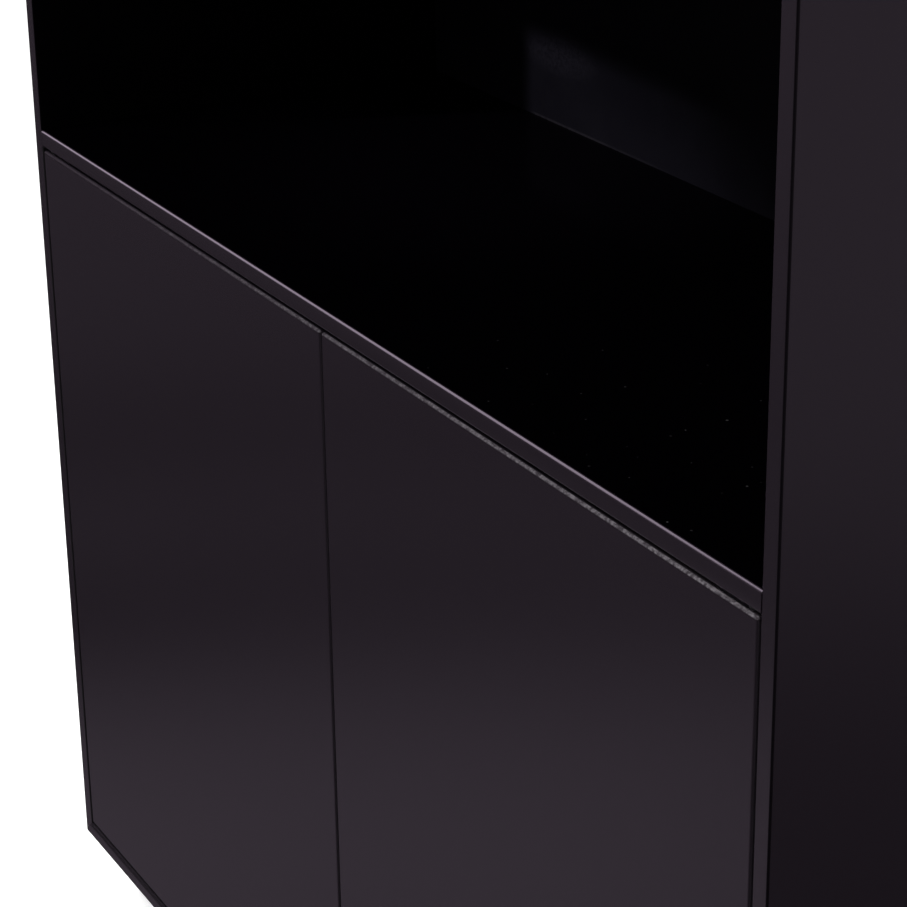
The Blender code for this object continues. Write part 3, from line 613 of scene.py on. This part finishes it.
def back_finish(name):
    """The niche's back panel: dull and dark in front, with a painted light patch and a painted
    highlight along its foot, faced board on its rear.
    """
    f = Finish(name)
    grain = f.noise(*BACK_GRAIN)
    cloud = f.noise(*BACK_CLOUD)
    colour = f.colours(*BACK, f.ramp(cloud, *BACK_SPREAD))
    # Painted light: a pale patch where the beam is brightest
    colour = f.colours(colour, BACK_LIGHT_PATCH, light_patch_zone(f))
    # Painted highlight along the foot of the panel
    colour = f.colours(colour, BACK_FOOT_HIGHLIGHT, foot_highlight_zone(f))
    rear = f.rise(f.y, BACK_FRONT, BACK_REAR_FADE)
    board = f.colours(*MELAMINE, f.mix(grain, cloud, BACK_REAR_CLOUD_SHARE))
    rough = f.mix(f.ramp(grain, *ROUGH_SPREAD, *BACK_ROUGH), BACK_REAR_ROUGH, rear)
    f.set_gloss(f.mix(BACK_GLOSS, PLAIN_GLOSS, rear))
    f.bump(grain, *BACK_BUMP)
    f.set(f.colours(colour, board, rear), rough, IOR=BOARD_IOR)
    return f.material


def zinc_finish(name):
    """Brushed and zinc plated steel."""
    f = Finish(name)
    brushed = f.noise(*ZINC_BRUSH, BRUSH_STRETCH)
    colour = f.colours(*ZINC, f.noise(*ZINC_CLOUD))
    f.bump(brushed, *ZINC_BUMP)
    f.set(colour, f.ramp(brushed, *ROUGH_SPREAD, *ZINC_ROUGH), Metallic=1.0)
    return f.material


def moulded_finish(name, colours, rough):
    """Moulded plastic or rubber with a very fine grain."""
    f = Finish(name)
    grain = f.noise(*MOULD_GRAIN)
    colour = f.colours(*colours, f.noise(*MOULD_CLOUD))
    f.bump(grain, *MOULD_BUMP)
    f.set(colour, f.ramp(grain, *ROUGH_SPREAD, *rough), IOR=MOULDED_IOR)
    return f.material


def make_finishes():
    return {
        "side": lacquer_finish(
            "side_lacquer",
            (inner_side_shade_zone, PAINTED_NICHE_SHADE, DEEP_ROUGH, DARK_GLOSS),
            (inner_side_low_zone, MELAMINE, BOARD_ROUGH, BOARD_GLOSS),
            (front_arris_shade_zone, PAINTED_SHADE_LINE, DEEP_ROUGH, FRONT_ARRIS_GLOSS),
        ),
        "door": lacquer_finish(
            "door_lacquer",
            (door_edge_light_zone, DOOR_EDGE_PAINTED_LIGHT, GAP_ROUGH, None),
            (door_top_zone, DOOR_TOP_EDGE, SEAM_ROUGH, DARK_GLOSS),
            (door_top_right_light_zone, DOOR_TOP_PAINTED_LIGHT, SEAM_ROUGH, DARK_GLOSS),
            (door_arris_zone, LACQUER, SEAM_ROUGH, DOOR_ARRIS_GLOSS),
            (door_arris_rub_and_highlight_zone, RUBBED_EDGE_AND_HIGHLIGHT, RUBBED_ROUGH, DOOR_ARRIS_GLOSS),
        ),
        "shelf": lacquer_finish(
            "shelf_lacquer",
            (top_face_zone, PAINTED_FLOOR_SHADE, FLOOR_TOP_ROUGH, DARK_GLOSS),
            (dust_zone, DUST, DUST_ROUGH, None),
            (shelf_under_zone, MELAMINE, BOARD_ROUGH, BOARD_GLOSS),
        ),
        "top": lacquer_finish("top_lacquer", (top_under_shade_zone, PAINTED_NICHE_SHADE, DEEP_ROUGH, DARK_GLOSS)),
        "bottom": lacquer_finish(
            "bottom_lacquer",
            (bottom_seam_shade_zone, PAINTED_SHADE_LINE, SEAM_ROUGH, SEAM_GLOSS),
            (bottom_inner_zone, MELAMINE, BOARD_ROUGH, BOARD_GLOSS),
            (bottom_arris_shade_zone, PAINTED_SHADE_LINE, SEAM_ROUGH, SEAM_ARRIS_GLOSS),
        ),
        "back": back_finish("niche_back"),
        "black_lacquer": lacquer_finish("lacquer"),
        "black_melamine": melamine_finish("melamine"),
        "zinc_steel": zinc_finish("zinc"),
        "black_nylon": moulded_finish("nylon", NYLON, NYLON_ROUGH),
        "grey_rubber": moulded_finish("rubber", RUBBER, RUBBER_ROUGH),
    }


def shade_smooth(obj):
    """Rounds the look of the eased edges: joins facets, splits at real corners, evens normals."""
    mesh = obj.data
    for name in ("custom_normal", "sharp_edge"):
        found = mesh.attributes.get(name)
        if found is not None:
            mesh.attributes.remove(found)
    mesh.polygons.foreach_set("use_smooth", [True] * len(mesh.polygons))
    weld = obj.modifiers.new("weld", "WELD")
    weld.merge_threshold = WELD_REACH
    split = obj.modifiers.new("corners", "EDGE_SPLIT")
    split.split_angle = BOARD_CORNER
    split.use_edge_sharp = False
    even = obj.modifiers.new("normals", "WEIGHTED_NORMAL")
    even.weight = NORMAL_WEIGHT
    even.keep_sharp = False


def dress_nodes(finishes):
    slots = {row["node"]: row["material_slot"] for row in frame["record"]["subparts"]}
    for name, obj in frame["nodes"].items():
        obj.material_slots[0].material = finishes[OWN_FINISHES.get(name, slots[name])]
        shade_smooth(obj)


def cross_reach(turn, arm, half_width, corner):
    """How far a cross of four arms reaches in one direction."""
    quarter = math.pi / 2
    away = abs((turn + quarter / 2) % quarter - quarter / 2)
    if away <= corner + CORNER_TOLERANCE:
        return arm / math.cos(away)
    return half_width / math.sin(away)


def screw_mesh(name, rings, material):
    """A cross-head screw that looks along +Z, skinned over its rings from the shank up."""
    arm = CROSS_ARM_SHARE * HEAD_RADIUS
    half_width = CROSS_HALF_WIDTH_SHARE * HEAD_RADIUS
    corner = math.atan2(half_width, arm)
    turns = [quarter * math.pi / 2 + extra for quarter in range(4)
             for extra in (-math.pi / 4, -corner, 0.0, corner)]
    b = bmesh.new()
    loops = []
    for radius, share, height in rings:
        loop = []
        for turn in turns:
            reach = cross_reach(turn, arm, half_width, corner) if radius is None else radius
            reach *= share
            loop.append(b.verts.new((reach * math.cos(turn), reach * math.sin(turn), height)))
        loops.append(loop)
    for low, high in zip(loops, loops[1:]):
        for i in range(len(low)):
            j = (i + 1) % len(low)
            b.faces.new((low[i], low[j], high[j], high[i]))
    b.faces.new(list(reversed(loops[0])))
    b.faces.new(loops[-1])
    bmesh.ops.recalc_face_normals(b, faces=b.faces)
    mesh = bpy.data.meshes.new(name)
    b.to_mesh(mesh)
    b.free()
    mesh.shade_smooth()
    mesh.set_sharp_from_angle(angle=SCREW_CORNER)
    mesh.materials.append(material)
    return mesh


def place_screw(scene, name, mesh, spot, out, turn, body):
    """One screw with its head at a spot, looking along out."""
    screw = bpy.data.objects.new(name, mesh)
    scene.collection.objects.link(screw)
    aimed = Vector(out).to_track_quat("Z", "Y").to_matrix().to_4x4()
    screw.matrix_world = Matrix.Translation(spot) @ aimed @ Matrix.Rotation(turn, 4, "Z")
    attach(screw, body)


def make_screws(scene, finishes):
    """Countersunk screws in the hinge leaves and round-head screws on the latch flanges."""
    sunk = screw_mesh("sunk_screw", SUNK_RINGS, finishes["zinc_steel"])
    round_head = screw_mesh("round_screw", ROUND_RINGS, finishes["zinc_steel"])
    turn = FIRST_TURN
    for side, way in (("left", -1), ("right", 1)):
        for end, up in (("top", 1), ("bottom", -1)):
            for kind, out, body in (("case", -up, "cabinet"), ("door", up, side + "_door")):
                low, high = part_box(f"{side}_{end}_{kind}_leaf")
                pin_x = way * (max(abs(low.x), abs(high.x)) - LEAF_PIN_INSET)
                face = high.z if out > 0 else low.z
                for i, reach in enumerate(LEAF_SCREW_REACHES):
                    turn += TURN_STEP
                    spot = (pin_x - way * reach, (low.y + high.y) / 2, face)
                    name = f"{side}_{end}_{kind}_screw_{i + 1}"
                    place_screw(scene, name, sunk, spot, (0, 0, out), turn, body)
        low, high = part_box(side + "_latch_housing")
        face = way * (min(abs(low.x), abs(high.x)) + LATCH_SCREW_DEPTH)
        for i, rise in enumerate(LATCH_SCREW_RISES):
            turn += TURN_STEP
            spot = (face, high.y - LATCH_SCREW_INSET, (low.z + high.z) / 2 + rise)
            name = f"{side}_latch_screw_{i + 1}"
            place_screw(scene, name, round_head, spot, (way, 0, 0), turn, "cabinet")


def make_camera(scene):
    data = bpy.data.cameras.new("camera")
    data.lens = LENS
    data.sensor_width = SENSOR
    data.clip_start = CLIP_START
    data.clip_end = CLIP_END
    camera = bpy.data.objects.new("camera", data)
    scene.collection.objects.link(camera)
    turn = Matrix((CAMERA_RIGHT, CAMERA_UP, CAMERA_BACK)).transposed().to_4x4()
    camera.matrix_world = Matrix.Translation(CAMERA_PLACE) @ turn
    scene.camera = camera


def seen_share(tree):
    """1 for what the camera, a mirror or clear glass sees directly."""
    path = tree.nodes.new("ShaderNodeLightPath")
    total = path.outputs["Is Camera Ray"]
    for name in ("Is Glossy Ray", "Is Transmission Ray"):
        larger = tree.nodes.new("ShaderNodeMath")
        larger.operation = "MAXIMUM"
        tree.links.new(total, larger.inputs[0])
        tree.links.new(path.outputs[name], larger.inputs[1])
        total = larger.outputs[0]
    return total


def make_world(scene):
    """White where it is seen directly, and a plain soft light on everything."""
    world = bpy.data.worlds.new("studio")
    world.use_nodes = True
    tree = world.node_tree
    background = tree.nodes["Background"]
    background.inputs["Color"].default_value = WHITE
    strength = tree.nodes.new("ShaderNodeMapRange")
    strength.inputs["To Min"].default_value = WORLD_LEVEL
    strength.inputs["To Max"].default_value = 1.0
    tree.links.new(seen_share(tree), strength.inputs["Value"])
    tree.links.new(strength.outputs[0], background.inputs["Strength"])
    scene.world = world


def make_floor(scene):
    """A pale floor that looks white and keeps the cabinet's shadow."""
    half = FLOOR_SIDE / 2
    corners = [(x * half, y * half, FLOOR_HEIGHT) for x, y in ((-1, -1), (1, -1), (1, 1), (-1, 1))]
    mesh = bpy.data.meshes.new("floor")
    mesh.from_pydata(corners, [], [(0, 1, 2, 3)])
    floor = bpy.data.objects.new("floor", mesh)
    scene.collection.objects.link(floor)
    material = bpy.data.materials.new("floor")
    material.use_nodes = True
    tree = material.node_tree
    surface = tree.nodes["Principled BSDF"]
    surface.inputs["Base Color"].default_value = FLOOR_COLOUR
    surface.inputs["Roughness"].default_value = FLOOR_ROUGHNESS
    surface.inputs["Specular IOR Level"].default_value = 0.0
    surface.inputs["Emission Color"].default_value = WHITE
    glow = tree.nodes.new("ShaderNodeMath")
    glow.operation = "MULTIPLY"
    glow.inputs[1].default_value = FLOOR_GLOW
    tree.links.new(seen_share(tree), glow.inputs[0])
    tree.links.new(glow.outputs[0], surface.inputs["Emission Strength"])
    material.cycles.emission_sampling = "NONE"
    mesh.materials.append(material)
    floor.visible_glossy = False


def height_curve(f, height, points):
    """Brightness by the height of a direction, from points of degrees and level."""
    made = f.node("ShaderNodeValToRGB")
    made.color_ramp.interpolation = "B_SPLINE"
    stops = made.color_ramp.elements
    while len(stops) > 1:
        stops.remove(stops[-1])
    for i, (angle, level) in enumerate(points):
        place = (angle + TENT_SPAN) / (2 * TENT_SPAN)
        stop = stops[0] if i == 0 else stops.new(place)
        stop.position = place
        stop.color = (level, level, level, 1)
    share = f.node("ShaderNodeMapRange")
    share.inputs["From Min"].default_value = math.radians(-TENT_SPAN)
    share.inputs["From Max"].default_value = math.radians(TENT_SPAN)
    f.link(height, share.inputs["Value"])
    f.link(share.outputs[0], made.inputs[0])
    grey = f.node("ShaderNodeRGBToBW")
    f.link(made.outputs[0], grey.inputs[0])
    return grey.outputs[0]


def tent_level(f):
    """How bright the tent is in each direction from its middle."""
    unit = f.node("ShaderNodeVectorMath", operation="NORMALIZE")
    f.link(f.shifted(f.place, TENT_MIDDLE), unit.inputs[0])
    x, y, z = f.split(unit.outputs[0])
    height = f.math("ARCSINE", z)
    turn = f.math("ARCTAN2", f.math("MULTIPLY", x, -1.0), f.math("MULTIPLY", y, -1.0))

    left = height_curve(f, height, TENT_LEFT)
    right = height_curve(f, height, TENT_RIGHT)
    left = f.product(left, f.ramp(turn, *TENT_GAIN_TURN, *TENT_GAINS))
    level = f.mix(left, right, f.ramp(x, *TENT_SIDES_REACH))

    front = f.ramp(y, *TENT_FRONT_REACH, *FALLING)
    front = f.product(front, f.ramp(x, *TENT_FRONT_SIDE_REACH))
    front = f.product(front, f.ramp(z, *TENT_FRONT_HEIGHT, *FALLING))
    level = f.mix(level, TENT_FRONT_LEVEL, front)

    sides = f.product(f.ramp(turn, *TENT_PANEL_START), f.ramp(turn, *TENT_PANEL_END, *FALLING))
    ends = f.product(f.ramp(z, *TENT_PANEL_FOOT), f.ramp(z, *TENT_PANEL_HEAD, *FALLING))
    panel = f.ramp(x, *TENT_PANEL_REACH, *TENT_PANEL_LEVELS)
    return f.mix(level, panel, f.product(sides, ends))


def make_tent(scene):
    """The dim studio that the lacquer mirrors."""
    b = bmesh.new()
    bmesh.ops.create_icosphere(b, subdivisions=TENT_FINENESS, radius=TENT_RADIUS)
    bmesh.ops.translate(b, verts=b.verts, vec=TENT_MIDDLE)
    mesh = bpy.data.meshes.new("tent")
    b.to_mesh(mesh)
    b.free()
    tent = bpy.data.objects.new("tent", mesh)
    scene.collection.objects.link(tent)
    f = Finish("tent")
    f.tree.nodes.remove(f.surface)
    glow = f.node("ShaderNodeEmission")
    glow.inputs["Color"].default_value = TENT_TINT
    f.link(tent_level(f), glow.inputs["Strength"])
    f.link(glow.outputs[0], f.tree.nodes["Material Output"].inputs["Surface"])
    f.material.cycles.emission_sampling = "NONE"
    mesh.materials.append(f.material)
    for kind in TENT_HIDDEN_FROM:
        setattr(tent, "visible_" + kind, False)


def place_lamp(scene, data, place, target, roll=0.0):
    """Aims a lamp, and keeps it out of mirrors."""
    lamp = bpy.data.objects.new(data.name, data)
    scene.collection.objects.link(lamp)
    way = Vector(target) - Vector(place)
    turn = way.to_track_quat("-Z", "Y").to_matrix().to_4x4()
    lamp.matrix_world = Matrix.Translation(place) @ turn @ Matrix.Rotation(roll, 4, "Z")
    lamp.visible_glossy = False
    return lamp


def make_panel_lamps(scene):
    for name, place, target, side, power in PANEL_LAMPS:
        data = bpy.data.lights.new(name, "AREA")
        data.shape = "SQUARE"
        data.size = side
        data.energy = power
        place_lamp(scene, data, place, target)


def make_beam(scene):
    """A narrow beam, wider than it is tall; the top and the left side shade part of it."""
    data = bpy.data.lights.new("niche_beam", "SPOT")
    data.energy = BEAM_POWER
    data.spot_size = 2 * BEAM_HALF_ANGLE
    data.spot_blend = 1.0
    data.shadow_soft_size = BEAM_SOURCE
    lamp = place_lamp(scene, data, BEAM_PLACE, BEAM_TARGET, BEAM_ROLL)
    lamp.matrix_world = lamp.matrix_world @ Matrix.Diagonal((1.0, BEAM_FLATTEN, 1.0, 1.0))


def main():
    scene = bpy.context.scene
    scene.view_settings.view_transform = "Standard"
    make_camera(scene)
    finishes = make_finishes()
    dress_nodes(finishes)
    make_screws(scene, finishes)
    make_world(scene)
    make_floor(scene)
    make_tent(scene)
    make_panel_lamps(scene)
    make_beam(scene)


main()
